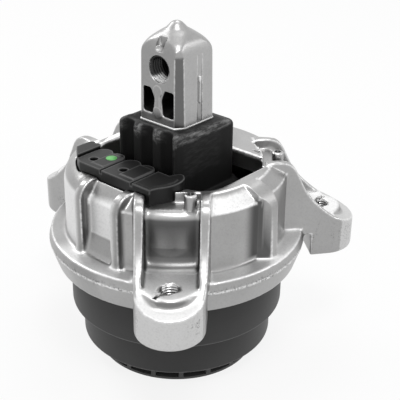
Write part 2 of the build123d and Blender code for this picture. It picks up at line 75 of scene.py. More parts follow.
# Adds nodes to one tree and gives their outputs back as wires
class Shader:
    def __init__(self, tree):
        self.tree = tree
        self.coords = None

    def node(self, kind, settings, values, output=0):
        made = self.tree.nodes.new(kind)
        for key, value in settings.items():
            if key == "stops":
                ramp = made.color_ramp
                while len(ramp.elements) < len(value):
                    ramp.elements.new(0.5)
                for element, (place, shade) in zip(ramp.elements, value):
                    element.position = place
                    element.color = (shade, shade, shade, 1)
            else:
                setattr(made, key, value)
        for key, value in values.items():
            if isinstance(value, Wire):
                self.tree.links.new(value.socket, made.inputs[key])
            else:
                made.inputs[key].default_value = value
        return Wire(self, made.outputs[output]) if made.outputs else None

    def place(self):
        if self.coords is None:
            self.coords = self.node("ShaderNodeTexCoord", {}, {}, "Object")
        return self.coords

    # A value that the mesh carries at its points, such as a stain or a worn patch
    def painted(self, name):
        return self.node("ShaderNodeAttribute", {"attribute_name": name}, {}, "Fac")

    def noise(self, scale, detail=3.0, rough=0.55, stretch=None):
        where = self.place()
        if stretch:
            where = self.node("ShaderNodeVectorMath", {"operation": "MULTIPLY"}, {0: where, 1: stretch})
        return self.node("ShaderNodeTexNoise", {},
                         {"Vector": where, "Scale": scale, "Detail": detail, "Roughness": rough})

    def ramp(self, value, *stops):
        return self.node("ShaderNodeValToRGB", {"stops": stops}, {0: value})

    def mix(self, factor, dark, light):
        return self.node("ShaderNodeMix", {"data_type": "RGBA"}, {0: factor, 6: dark, 7: light}, 2)

    def bump(self, height, strength, distance):
        return self.node("ShaderNodeBump", {},
                         {"Height": height, "Strength": strength, "Distance": distance})


def newMaterial(name):
    material = bpy.data.materials.new(name)
    material.use_nodes = True
    material.node_tree.nodes.clear()
    shader = Shader(material.node_tree)
    return material, shader


def surface(shader, fixed, varied):
    bsdf = shader.node("ShaderNodeBsdfPrincipled", {}, {**fixed, **varied})
    shader.node("ShaderNodeOutputMaterial", {}, {0: bsdf})


def grey(level, tint=0.0):
    return (level + tint, level, level - tint, 1)


# Cast skin: clouded grey metal. The mesh carries its painted light, from -1 for painted shade to 1 for
# painted highlight, its edge wear and sheen, which is 1 along edges that are rubbed bare or carry a painted
# highlight, and "pits", which is 1 in porous skin
castLook = {"dark": 0.32, "light": 0.46, "paintedShade": 0.035, "paintedHighlight": 0.84, "edge": 0.92, "pit": 0.10,
            "fewPits": 0.09, "manyPits": 0.6, "rough": 0.25, "roughSpread": 0.12, "brightRough": 0.2,
            "cloudScale": 38.0, "reliefScale": 260.0, "wearScale": 520.0, "pitScale": 1100.0,
            "grainScale": 1500.0}


def makeCast(name, look):
    material, sh = newMaterial(name)
    cloud = sh.ramp(sh.noise(look["cloudScale"], 4.0), (0.3, 0.0), (0.72, 1.0))
    grain = sh.noise(look["grainScale"], 2.0)
    speck = sh.ramp(sh.noise(look["pitScale"], 3.0, 0.7), (0.40, 1.0), (0.48, 0.0))
    broken = sh.ramp(sh.noise(look["wearScale"], 3.0, 0.6), (0.35, 0.4), (0.6, 1.0))
    tone = sh.painted("tone")
    base = sh.mix(cloud * 0.6 + grain * 0.4, grey(look["dark"], 0.002), grey(look["light"], 0.001))
    # Painted shade darkens where the painted light is below 0, a painted highlight brightens where it is
    # above 0
    base = sh.mix((0 - tone).clamp(), base, grey(look["paintedShade"]))
    base = sh.mix(tone.clamp() * (0.8 + grain * 0.2), base, grey(look["paintedHighlight"]))
    # Edges rubbed bare and painted edge highlights, left off the blackest painted shade
    base = sh.mix(sh.painted("worn") * broken * ((tone + 1) * 8).clamp(), base, grey(look["edge"]))
    porous = look["fewPits"] + sh.painted("pits") * look["manyPits"]
    base = sh.mix(speck * porous, base, grey(look["pit"]))
    rough = look["rough"] + cloud * look["roughSpread"] + grain * 0.06 + tone.clamp() * look["brightRough"]
    relief = sh.noise(look["reliefScale"], 3.0) * 0.6 + grain * 0.4
    surface(sh, {"Metallic": 1.0, "Specular IOR Level": 0.5},
            {"Base Color": base, "Roughness": rough, "Normal": sh.bump(relief, 0.25, 0.1 * mm)})
    return material


# Turned or cut metal, black with painted shade where its painted light is -1
def makeMachined(name, level):
    material, sh = newMaterial(name)
    fine = sh.noise(900.0, 2.0)
    base = sh.mix(fine, grey(level * 0.85), grey(level))
    base = sh.mix((0 - sh.painted("tone")).clamp(), base, grey(0.004))
    surface(sh, {"Metallic": 1.0}, {"Base Color": base, "Roughness": 0.22 + fine * 0.12})
    return material


# Moulded rubber with a faint bloom, black with painted shade where its painted light is below 0, and grey
# rubbed streaks where it is painted "scuffs"
def makeRubber(name, level):
    material, sh = newMaterial(name)
    cloud = sh.noise(90.0, 5.0, 0.65)
    bloom = sh.ramp(sh.noise(55.0, 6.0, 0.7), (0.5, 0.0), (0.75, 1.0))
    streaks = sh.ramp(sh.noise(420.0, 5.0, 0.75, (1.0, 0.35, 1.6)), (0.44, 0.0), (0.66, 1.0))
    base = sh.mix(cloud, grey(level * 0.5), grey(level * 1.2))
    base = sh.mix(bloom * 0.25, base, grey(level * 3.0))
    base = sh.mix((0 - sh.painted("tone")).clamp(), base, grey(0.0012))
    base = sh.mix(sh.painted("scuffs") * (0.12 + streaks * 0.88), base, grey(0.2))
    relief = sh.noise(420.0, 4.0)
    surface(sh, {"Metallic": 0.0, "Specular IOR Level": 0.2},
            {"Base Color": base, "Roughness": 0.5 + cloud * 0.25,
             "Normal": sh.bump(relief, 0.3, 0.15 * mm)})
    return material


# Moulded plastic, paler along edges that are rubbed or carry a painted highlight
def makePlastic(name, level, rough, shine):
    material, sh = newMaterial(name)
    cloud = sh.noise(60.0, 3.0)
    grain = sh.noise(1400.0, 2.0)
    base = sh.mix(cloud, grey(level * 0.85), grey(level * 1.15))
    base = sh.mix(sh.painted("worn") * (0.5 + cloud * 0.5), base, grey(level * 3.0 + 0.07))
    surface(sh, {"Metallic": 0.0, "Specular IOR Level": shine},
            {"Base Color": base, "Roughness": rough + cloud * 0.08 + grain * 0.05,
             "Normal": sh.bump(grain, 0.2, 0.05 * mm)})
    return material


def makePaint(name, colour):
    material, sh = newMaterial(name)
    cloud = sh.noise(300.0, 3.0)
    base = sh.mix(cloud * 0.3, colour, (colour[0] * 1.3, colour[1] * 1.15, colour[2] * 1.3, 1))
    surface(sh, {"Metallic": 0.0}, {"Base Color": base, "Roughness": 0.4 + cloud * 0.2})
    return material


castMetal = makeCast("cast aluminium", castLook)
threadMetal = makeMachined("cut thread", 0.6)
steelWire = makeMachined("steel", 0.5)
blockRubber = makeRubber("block rubber", 0.0065)
softRubber = makeRubber("thin rubber", 0.02)
capPlastic = makePlastic("cap plastic", 0.008, 0.36, 0.3)
cupPlastic = makePlastic("cup plastic", 0.026, 0.42, 0.3)
platePlastic = makePlastic("plate plastic", 0.05, 0.5, 0.4)
dotPaint = makePaint("dot paint", (0.14, 0.49, 0.14, 1))
print("materials made")


# Gives one of the frame's own pieces its material
def dress(name, material):
    piece = nodes[name]
    piece.data.materials.clear()
    piece.data.materials.append(material)


def newObject(name, data):
    piece = bpy.data.objects.new(name, data)
    bpy.context.scene.collection.objects.link(piece)
    return piece


def fromBmesh(name, made):
    mesh = bpy.data.meshes.new(name)
    made.to_mesh(mesh)
    made.free()
    return newObject(name, mesh)


# Puts the result of the modifiers into the mesh and takes them off
def settle(piece):
    view = bpy.context.evaluated_depsgraph_get()
    mesh = bpy.data.meshes.new_from_object(piece.evaluated_get(view))
    piece.modifiers.clear()
    piece.vertex_groups.clear()
    piece.data = mesh


def addModifier(piece, kind, **settings):
    modifier = piece.modifiers.new(kind.lower(), kind)
    for key, value in settings.items():
        setattr(modifier, key, value)
    return modifier


# Hands a finished piece to the frame, in the place of the nodes named last
def finish(piece, material, slot, *stands):
    piece.data.materials.clear()
    piece.data.materials.append(material)
    piece.data.shade_smooth()
    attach(piece, "root")
    if stands:
        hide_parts(*stands)
    print(piece.name, len(piece.data.polygons), "faces")


# A CAD piece's shape, merged, to go on from
def nodeShape(name):
    made = bmesh.new()
    made.from_mesh(nodes[name].data)
    bmesh.ops.remove_doubles(made, verts=made.verts, dist=0.001 * mm)
    bmesh.ops.recalc_face_normals(made, faces=made.faces)
    return made


def spun(angle, axis="Z"):
    return Matrix.Rotation(math.radians(angle), 4, axis)


def moved(x, y, z):
    return Matrix.Translation((x * mm, y * mm, z * mm))


# A place given along, across and above the leg that points at an angle
def turned(angle, *place):
    return spun(angle) @ Matrix.Translation(Vector(place) * mm)


# How far a point lies along and across the leg that points at an angle
def legPlace(place, angle):
    turn = math.radians(angle)
    along = place.x * math.cos(turn) + place.y * math.sin(turn)
    across = place.y * math.cos(turn) - place.x * math.sin(turn)
    return along, across


# A rod, or a cone where its end has a radius of its own
def addRod(made, matrix, radius, top, bottom=0.0, sides=48, endRadius=None):
    place = matrix @ Matrix.Translation((0, 0, (top + bottom) / 2 * mm))
    bmesh.ops.create_cone(made, cap_ends=True, segments=sides, radius1=radius * mm,
                          radius2=(endRadius or radius) * mm, depth=(top - bottom) * mm, matrix=place)


def addBlock(made, matrix, size):
    spread = Matrix.Diagonal((size[0] * mm, size[1] * mm, size[2] * mm, 1))
    bmesh.ops.create_cube(made, size=1.0, matrix=matrix @ spread)


# Points along the edges that turn by an angle between two values: below 0 they are inside corners
def edgePoints(made, low, high, wanted):
    points = []
    for edge in made.edges:
        if len(edge.link_faces) != 2 or not low < edge.calc_face_angle_signed() < high:
            continue
        first, last = edge.verts[0].co, edge.verts[1].co
        steps = max(1, int((last - first).length / (0.5 * mm)))
        for step in range(steps + 1):
            point = first.lerp(last, step / steps)
            if wanted(point):
                points.append(point.copy())
    tree = KDTree(len(points))
    for index, point in enumerate(points):
        tree.insert(point, index)
    tree.balance()
    return tree


# Gives each point of a piece a value, worked out from its place in millimetres and its normal
def paint(piece, name, rule):
    mesh = piece.data
    layer = mesh.attributes.new(name, "FLOAT", "POINT")
    layer.data.foreach_set("value", [rule(vertex.co / mm, vertex.normal) for vertex in mesh.vertices])


# 1 on the edges found in the sharp shape, fading to 0 over the given reach
def nearness(edges, place, reach):
    return rise(edges.find(place * mm)[2] / mm, reach, reach * 0.35)


# Paints edge wear together with a painted edge highlight near the sharp shape's edges
def paintWearAndSheen(piece, edges, reach, strength=1.0):
    paint(piece, "worn", lambda place, normal: strength * nearness(edges, place, reach))


# 0 at the start value, 1 at the end value, smooth between, whichever is larger
def rise(value, start, end):
    part = min(1.0, max(0.0, (value - start) / (end - start)))
    return part * part * (3 - 2 * part)


# 1 inside a range, fading to 0 over the given width outside it
def within(value, low, high, fade):
    return rise(value, low - fade, low) * rise(value, high + fade, high)


# Joins all that a piece is made of into one skin and rounds it: all edges a little, given corners more
def castForm(piece, look, corners=None):
    addModifier(piece, "REMESH", mode="VOXEL", voxel_size=look["voxel"] * mm)
    addModifier(piece, "SMOOTH", factor=0.5, iterations=look["edgeRounds"])
    settle(piece)
    if corners:
        group = piece.vertex_groups.new(name="corners")
        reach = look["cornerReach"] * mm
        for vertex in piece.data.vertices:
            distance = corners.find(vertex.co)[2]
            if distance < reach:
                group.add([vertex.index], 1.0 - (distance / reach) ** 2, "REPLACE")
        addModifier(piece, "SMOOTH", factor=0.6, iterations=look["cornerRounds"], vertex_group="corners")
        settle(piece)
    faces = len(piece.data.polygons) * 2
    if faces > look["faces"]:
        addModifier(piece, "DECIMATE", ratio=look["faces"] / faces)
        settle(piece)


# Cuts a closed shape out of a piece
def cutWith(piece, made):
    cutter = fromBmesh("cutter", made)
    addModifier(piece, "BOOLEAN", operation="DIFFERENCE", solver="MANIFOLD", object=cutter)
    settle(piece)
    bpy.data.objects.remove(cutter)


# Closes a row of rings, each to the next, with four-sided faces
def joinRings(made, rings):
    for near, far in zip(rings, rings[1:]):
        for index in range(len(near)):
            after = (index + 1) % len(near)
            made.faces.new((near[index], near[after], far[after], far[index]))


# Rings one over the other, with a face across the first and the last
def stackRings(made, rings):
    joinRings(made, rings)
    made.faces.new(rings[0][::-1])
    made.faces.new(rings[-1])


# Cut thread: a tube whose inner wall is a helical V, closed round the outside
def threadTube(name, look, matrix):
    made = bmesh.new()
    around, perPitch = look["around"], look["perPitch"]
    rows = int(look["length"] / look["pitch"] * perPitch)
    turns = [2 * math.pi * step / around for step in range(around)]
    rings = []
    for row in range(rows + 1):
        height = row / perPitch
        ring = []
        for step, angle in enumerate(turns):
            wave = (height - step / around) % 1.0
            tooth = min(1.0, max(0.0, 2.2 * abs(wave - 0.5) - 0.05))    # narrow flats at root and crest
            radius = look["minor"] + (look["major"] - look["minor"]) * (1.0 - tooth)
            ring.append(made.verts.new((radius * math.cos(angle) * mm, radius * math.sin(angle) * mm,
                                        -height * look["pitch"] * mm)))
        rings.append(ring)
    radius = look["major"] + look["wall"]
    for depth in (rows / perPitch * look["pitch"], 0.0):
        rings.append([made.verts.new((radius * math.cos(angle) * mm, radius * math.sin(angle) * mm,
                                      -depth * mm)) for angle in turns])
    joinRings(made, rings + rings[:1])
    bmesh.ops.recalc_face_normals(made, faces=made.faces)
    made.transform(matrix)
    return fromBmesh(name, made)


# Housing: the frame's own shape as a casting, with its holes cut after the rounding. Places on a leg are
# given along and across it, places on the wall by x, level or angle
housingLook = {"voxel": 0.5, "edgeRounds": 8, "cornerReach": 4.0, "cornerRounds": 45, "faces": 170000,
               "legAngles": (-49.8, 49.8, 180.0), "legHalf": 13.5, "holeRadius": 68.5, "bore": 4.0,
               "boreCut": (40.0, 75.0), "boreFill": 4.2, "padLevel": 68.3, "padCentre": 66.8,
               "padInner": 56.7, "footBottom": 48.4,
               "postAngles": (-40.4, 40.4), "postRadius": 45.6, "postBore": 1.4, "postCut": (92.4, 104.0),
               "postFill": 2.0, "postFilled": (90.0, 99.4),
               "slits": ((-49.8, 73.5, -4.3, -34.0), (49.8, 69.9, 4.9, 41.0)),
               "slitSize": (5.8, 1.5, 5.0), "slitFill": (8.6, 3.8, 4.0),
               "rimSlot": (23.4, 28.6, 96.4), "rimSlotSize": (4.6, 1.0, 3.0),
               "arch": (41.4, 83.1, 13.3), "wearAndSheenReach": 0.9, "worn": 0.75,
               "ledgeLevel": (62.6, 64.6), "ledgeRadius": (51.5, 58.0), "ledgeAngle": (-118, -106),
               "leftWall": (-142, -107), "leftWallLevel": (66.0, 90.0),
               "pocketHalf": 11, "wallRadius": (47.5, 52.5), "wallLevel": (72.5, 88.5),
               "slopeLevel": (69.0, 76.0), "panel": (-9.0, 7.4), "panelFoot": 73.2,
               "panelRoll": (86.6, 90.2), "ribs": (-12.0, 10.2), "ribHalf": 2.4,
               "rightPanel": (-31, -6), "rightRoll": (90.5, 95.0),
               "partingLevel": (58.4, 59.8), "shelfLevel": (90.0, 93.5)}
footThread = {"minor": 3.35, "major": 4.0, "wall": 0.35, "pitch": 1.25, "length": 19.0, "around": 40,
              "perPitch": 8}


def isOutside(point):
    radius = math.hypot(point.x, point.y) / mm
    level = point.z / mm
    nearSeat = point.y < -18 * mm and abs(point.x) < 36 * mm and radius < 46 and level > 90
    return level > 60 and radius > 46.5 and not nearSeat


# The slits and the rim's slot as blocks whose middle lies on the surface they are cut in
def holeBlocks(look):
    blocks = [(turned(angle, along, across, look["padLevel"]) @ spun(turn), look["slitSize"])
              for angle, along, across, turn in look["slits"]]
    return blocks + [(turned(0, *look["rimSlot"]), look["rimSlotSize"])]


# True within the slits, the rim's slot and the posts' holes, each grown by the reach given
def inSmallHole(place, reach, top):
    look = housingLook
    for angle in look["postAngles"]:
        turn = math.radians(angle)
        away = math.hypot(place.x - look["postRadius"] * math.cos(turn),
                          place.y - look["postRadius"] * math.sin(turn))
        if away < look["postBore"] + reach * 0.5 and place.z > look["postCut"][0] - 0.4:
            return True
    for matrix, size in holeBlocks(look):
        local = matrix.inverted() @ (place * mm) / mm
        beside = any(abs(local[axis]) > size[axis] / 2 + reach for axis in range(2))
        if not beside and -size[2] / 2 - reach < local.z < top:
            return True
    return False


# Painted highlight line where the faced pad meets the cast slope behind it
def padRimHighlight(place):
    look = housingLook
    line = 0.0
    for angle in look["legAngles"]:
        along, across = legPlace(place, angle)
        if 0 < along and abs(place.z - look["padLevel"]) < 0.8:
            line += (within(along, look["padInner"] - 0.35, look["padInner"] + 0.35, 0.4)
                     * within(across, -look["pocketHalf"], look["pocketHalf"], 0.4))
    return line


# The right rib's flank runs softly into the wall, so its edge gets neither wear nor a painted edge
# highlight
def takesWearAndSheen(point):
    soft = point.x > 46 * mm and -4 * mm < point.y < -2 * mm and point.z < 92 * mm
    return point.z > 57 * mm and not soft and not inSmallHole(point / mm, 1.6, 0.5)


# Gives the arched rib on the right its full round, which runs on into the housing's top
def archRib(piece, look):
    x, z, reach = look["arch"]
    for vertex in piece.data.vertices:
        place = vertex.co / mm
        if -5.5 < place.y < 7.0 and place.x > x and place.z > z:
            across, up = place.x - x, place.z - z
            share = reach / max(reach, math.hypot(across, up))
            share = 1 - within(place.y, -4.0, 5.8, 1.2) * (1 - share)
            vertex.co.x = (x + across * share) * mm
            vertex.co.z = (z + up * share) * mm


# A leg's pocket wall gets painted shade, with a paler patch, and so does the wall of its pad. The pad, the
# foot's rim and the foot's outside get a painted highlight
def legPaintedLight(place, normal, along, across):
    look = housingLook
    radius = math.hypot(place.x, place.y)
    inside = within(across, -look["pocketHalf"], look["pocketHalf"], 1.0)
    wall = within(radius, *look["wallRadius"], 1.5) * within(place.z, *look["wallLevel"], 1.5) * inside
    patch = rise(math.hypot((across + 1.0) / 7.0, (place.z - 77.0) / 4.0), 1.25, 0.75)
    slope = within(place.z, *look["slopeLevel"], 0.5) * inside * rise(radius, 57.0, 56.0)
    tone = 0.75 * within(place.z, 67.9, 68.5, 0.2) * rise(normal.z, 0.7, 0.95)
    tone -= max(wall * (0.8 - 0.35 * patch), 0.68 * slope)
    apart = math.hypot(along - look["padCentre"], across)
    side = within(apart, 11.0, 12.0, 0.3) * within(place.z, 60.0, 67.6, 0.3)
    tone -= 0.5 * side * rise(normal.z, 0.6, 0.3)
    tone += 0.5 * rise(apart, 12.2, 13.0) * rise(along, 66.0, 70.0) * rise(normal.z, 0.5, 0.8)
    tone += 0.5 * rise(apart, 14.5, 15.5) * rise(along, 62.0, 66.0) * rise(normal.z, 0.5, 0.2)
    return tone


# Painted light on the front panel, its roll and its ribs: painted highlights on the panel, the roll and
# each rib's left, painted shade on each rib's right and on faces turned to the right
def frontPaintedLight(place, normal):
    look = housingLook
    tone = -0.5 * rise(normal.x, 0.35, 0.8) * rise(place.z, 96, 92)
    panel = rise(-normal.y, 0.9, 0.98) * within(place.x, *look["panel"], 0.3)
    foot = look["panelFoot"]
    tone += panel * (0.85 * rise(place.z, foot - 1.0, foot) - 0.2 * rise(place.z, foot, foot - 1.0))
    tone += within(place.z, *look["panelRoll"], 0.8) * within(place.x, *look["panel"], 0.5)
    for centre in look["ribs"]:
        share = (place.x - centre) / look["ribHalf"]
        if abs(share) < 1.1 and place.y < -48.5 and place.z > 64.0:
            tone += 0.55 * rise(-share, -0.1, 0.5) - 0.2 * rise(share, -0.05, 0.45)
    return tone


# Painted shade on the arched rib's flank and on the wall beside it
def archPaintedShade(place, normal):
    flank = rise(-normal.y, 0.35, 0.7) * rise(place.z, 94, 91) * rise(place.y, -4.8, -4.2)
    beside = rise(place.y, -11.0, -4.6) * rise(-place.y, 2.6, 3.2) * rise(place.z, 91.0, 89.0)
    return -max(0.8 * flank, 0.85 * beside * rise(place.z, 64.0, 66.0))


# Painted light over the housing: the small holes black with painted shade, painted highlights on the front
# ledge, the left wall and the right panel's roll, and the legs', the front's and the arched rib's painted
# light added
def housingPaintedLight(place, normal):
    look = housingLook
    if inSmallHole(place, 0.2, -0.15):
        return -1.0
    radius = math.hypot(place.x, place.y)
    angle = math.degrees(math.atan2(place.y, place.x))
    ledge = within(place.z, *look["ledgeLevel"], 0.5) * within(radius, *look["ledgeRadius"], 1.0)
    inFront = rise(angle, *look["ledgeAngle"]) if angle < 90 else 0
    tone = 0.8 * ledge * rise(normal.z, 0.5, 0.9) * inFront
    left = within(angle, *look["leftWall"], 2.0) * within(place.z, *look["leftWallLevel"], 2.0)
    tone += 0.95 * left * rise(normal.z, 0.7, 0.4) * rise(radius, 44, 47)
    for leg in look["legAngles"]:
        along, across = legPlace(place, leg)
        if along > 0 and abs(across) < look["legHalf"]:
            tone += legPaintedLight(place, normal, along, across)
    if place.y < -43 and abs(place.x) < 22 and place.z < 96:
        tone += frontPaintedLight(place, normal)
    if 40 < place.x < 56 and -11 < place.y < 2.5:
        tone += archPaintedShade(place, normal)
    roll = within(angle, *look["rightPanel"], 1.5) * within(place.z, *look["rightRoll"], 0.6)
    tone += 0.85 * roll * rise(radius, 42, 44)
    return max(-1.0, min(1.0, tone))


# Porous skin along the parting line and a little on the shelf
def housingPits(place, normal):
    look = housingLook
    radius = math.hypot(place.x, place.y)
    parting = within(place.z, *look["partingLevel"], 0.5) * rise(radius, 57.5, 58.5)
    shelf = within(place.z, *look["shelfLevel"], 1.0) * rise(normal.z, 0.5, 0.9) * rise(radius, 50.5, 49.0)
    return min(1.0, parting + 0.15 * shelf)


# Painted shade in a foot's thread: dark deep down and on the side facing back and left
def footThreadPaintedShade(place, normal):
    return -max(rise(place.z, 66.0, 61.0), 0.75 * rise(normal.x - normal.y, 0.9, -0.5))


def makeHousing():
    look = housingLook
    made = nodeShape("housing")
    corners = edgePoints(made, -math.pi, -0.35, isOutside)
    edges = edgePoints(made, 0.5, math.pi, takesWearAndSheen)
    # The small holes are filled first, because the rounding would wash them out
    for angle in look["legAngles"]:
        place = turned(angle, look["holeRadius"], 0, 0)
        addRod(made, place, look["boreFill"], look["padLevel"], look["footBottom"])
    low, high = look["postFilled"]
    for angle in look["postAngles"]:
        addRod(made, turned(angle, look["postRadius"], 0, 0), look["postFill"], high, low)
    for angle, along, across, turn in look["slits"]:
        place = turned(angle, along, across, look["padLevel"] - look["slitFill"][2] / 2) @ spun(turn)
        addBlock(made, place, look["slitFill"])
    piece = fromBmesh("housing_casting", made)
    castForm(piece, look, corners)
    archRib(piece, look)
    cuts = bmesh.new()
    low, high = look["boreCut"]
    for angle in look["legAngles"]:
        addRod(cuts, turned(angle, look["holeRadius"], 0, 0), look["bore"], high, low)
    low, high = look["postCut"]
    for angle in look["postAngles"]:
        addRod(cuts, turned(angle, look["postRadius"], 0, 0), look["postBore"], high, low, 32)
    for place, size in holeBlocks(look):
        addBlock(cuts, place, size)
    cutWith(piece, cuts)
    # Edge wear with painted edge highlights and a painted highlight line round each pad, then painted shade
    # and highlight over the whole housing
    paint(piece, "worn", lambda place, normal: max(look["worn"] * nearness(edges, place, look["wearAndSheenReach"]),
                                                   padRimHighlight(place)))
    paint(piece, "tone", housingPaintedLight)
    paint(piece, "pits", housingPits)
    finish(piece, castMetal, "aluminium_cast", "housing")
    for index, angle in enumerate(look["legAngles"]):
        place = turned(angle, look["holeRadius"], 0, look["padLevel"] - 0.4)
        thread = threadTube("foot_thread_%d" % index, footThread, place)
        paint(thread, "tone", footThreadPaintedShade)
        finish(thread, threadMetal, "aluminium_cast")


# Finger: a square bar with a bell-shaped roof, standing on the frame's own core. Its corner flat cuts more
# from the right face than from the face with the hole. Body and roof give level, half width and rounding
fingerLook = {"voxel": 0.27, "edgeRounds": 6, "faces": 150000, "edgeWearAndSheen": 0.5, "face": 11.42,
              "foot": 110, "holeLevel": 140.2, "bore": (6.0, -6.7, 14.0), "sink": (5.7, 7.1, 10.4, 12.8),
              "body": ((100.0, 11.6, 0.1), (115.0, 11.6, 0.12), (146.0, 11.3, 0.13)),
              "roof": ((147.4, 11.22, 0.15), (148.4, 11.08, 0.18), (149.3, 10.86, 0.23),
                       (150.2, 10.55, 0.3), (151.1, 10.15, 0.38), (152.0, 9.65, 0.48), (152.8, 9.0, 0.58),
                       (153.7, 8.1, 0.7), (154.6, 7.1, 0.82), (155.4, 5.95, 0.92), (156.2, 4.75, 0.98),
                       (157.0, 3.95, 0.98), (157.8, 3.2, 0.98), (158.6, 2.4, 0.98), (159.15, 1.4, 0.98),
                       (159.38, 0.5, 0.98)),
              "flat": (0.8327, -0.5538, 13.84), "flatTop": 150.0,
              "pockets": (((-4.8, 131.0), (-9.4, 131.0), (-9.4, 119.6), (-3.7, 119.6), (-2.6, 126.4)),
                          ((3.3, 131.2), (8.5, 131.2), (8.5, 119.4), (2.3, 119.4), (1.3, 126.2))),
              "pocketFront": -12.6, "pocketDepth": 10.0, "pocketCorner": 1.0,
              "web": ((-0.7, 130.4, 2.4), (-0.9, 120.3, 2.6)), "webRise": 0.42,
              "waist": (-0.65, -10.3, 125.6), "waistSize": (2.0, 3.0, 9.0),
              "groove": (0.7, 3.9, 0.35), "grooveLevel": (103.5, 146.5),
              "line": ((124.4, 134.6, 0.7), (134.4, 136.6, 1.4)), "linePlace": (11.0, 2.3),
              "lineThick": 1.3, "notchBack": -7.9, "notchFloor": 149.9, "notchHalf": 2.2,
              "lip": ((0.0, 114.3), (0.34, 114.6), (0.34, 115.25), (0.204, 115.6), (0.0, 115.75),
                      (-0.5, 115.5)), "lipCorner": 0.12}
fingerThread = {"minor": 5.0, "major": 5.95, "wall": 0.3, "pitch": 1.5, "length": 15.5, "around": 64,
                "perPitch": 10}


# A square with rounded corners as points. A flat cuts off its right-front corner where one is given
def squareRing(half, share, flat=None):
    corner = half * share
    points = []
    for quarter in range(4):
        for step in range(13):
            angle = math.radians(90 * quarter + 7.5 * step)
            x = (half - corner) * (1 if quarter in (0, 3) else -1) + corner * math.cos(angle)
            y = (half - corner) * (1 if quarter in (0, 1) else -1) + corner * math.sin(angle)
            if flat and quarter == 3:
                start = Vector(((flat[2] + flat[1] * half) / flat[0], -half))
                end = Vector((half, (flat[2] - flat[0] * half) / flat[1]))
                x, y = start.lerp(end, step / 12)
            points.append((x, y))
    return points


# Prism from points of the hole's face, its corners rounded, sunk to a depth
def sunkShape(made, outline, front, depth, corner):
    rounded = brokenProfile([(x, z, corner) for x, z in outline], 4)
    rows = [[made.verts.new((point.x * mm, level * mm, point.y * mm)) for point in rounded]
            for level in (front, front + depth)]
    stackRings(made, rows)
    bmesh.ops.recalc_face_normals(made, faces=made.faces)


# Painted light on the finger: painted shade makes the hole black, the pockets dark, the front face duller,
# the corner flat and the notch dull; painted highlight makes the foot bright and the right face lighter,
# and draws a bright line round the web and along the raised line, with painted shade in the groove below it
def fingerPaintedLight(place, normal):
    look = fingerLook
    if place.z < 114.6:
        return 0.0
    if math.hypot(place.x, place.z - look["holeLevel"]) < 6.3 and -9.4 < place.y < 8.0:
        return -1.0
    if place.z < 133 and -10.9 < place.y < 0 and (-9.8 < place.x < -2.4 or 1.2 < place.x < 8.9):
        return -0.96 + 0.5 * rise(place.z, 123.5, 119)
    foot = rise(place.z, 120, 115.6)
    tone = (0.75 * foot - 0.24) * rise(-normal.y, 0.6, 0.95)
    tone += (0.1 + 0.3 * foot) * rise(normal.x, 0.9, 0.97)
    facing = normal.x * look["flat"][0] + normal.y * look["flat"][1]
    tone -= 0.68 * rise(facing, 0.93, 0.98) * rise(place.z, 147.6, 146.6)
    floor = look["notchFloor"]
    if abs(place.x) < 2.3 and place.y < look["notchBack"] + 0.05 and floor - 2.3 < place.z < 153.7:
        return -0.72 * rise(place.z, 149.6, 150.0)
    rim = min(abs(math.hypot(place.x - x, place.z - z) - radius) for x, z, radius in look["web"])
    if place.y < -11.3 and 117 < place.z < 133.2 and abs(place.x + 0.7) < 2.8:
        if 123.1 < place.z < 128.2:
            rim = abs(abs(place.x - look["waist"][0]) - look["waistSize"][0] / 2)
        tone += 0.3 * rise(rim, 0.35, 0.1)
    if place.x > 10.4 and place.y > 0:
        low, high = look["groove"][:2]
        tone -= 0.22 * within(place.y, low, high, 0.2) * rise(place.z, 124.8, 124.0)
        line = within(place.z, 124, 137, 0.3) * within(place.y, 1.4, 3.2, 0.2)
        tone += 0.9 * rise(place.x, 11.35, 11.5) * line
    return tone


# Painted shade in the finger's thread: black deep in and all round but for a lit band at the lower right
def threadPaintedShade(place, normal):
    aside = math.atan2(place.z - fingerLook["holeLevel"], place.x)
    lit = within(aside, -2.0, -0.55, 0.5)
    return -max(rise(place.y, -7.5, -3.5), 0.93 * (1 - lit))


# The bar with its roof, its two pockets and the shallow groove down its right face
def fingerBar(look):
    made = bmesh.new()
    rings = []
    for level, half, share in look["body"] + look["roof"]:
        ring = squareRing(half, share, look["flat"] if level < look["flatTop"] else None)
        rings.append([made.verts.new((x * mm, y * mm, level * mm)) for x, y in ring])
    stackRings(made, rings)
    bmesh.ops.recalc_face_normals(made, faces=made.faces)
    piece = fromBmesh("finger_bar", made)
    cuts = bmesh.new()
    for outline in look["pockets"]:
        sunkShape(cuts, outline, look["pocketFront"], look["pocketDepth"], look["pocketCorner"])
    near, far, depth = look["groove"]
    low, high = look["grooveLevel"]
    outside = 13.0
    addBlock(cuts, moved(outside, (near + far) / 2, (low + high) / 2),
             (2 * (outside - look["face"] + depth), far - near, high - low))
    cutWith(piece, cuts)
    return piece


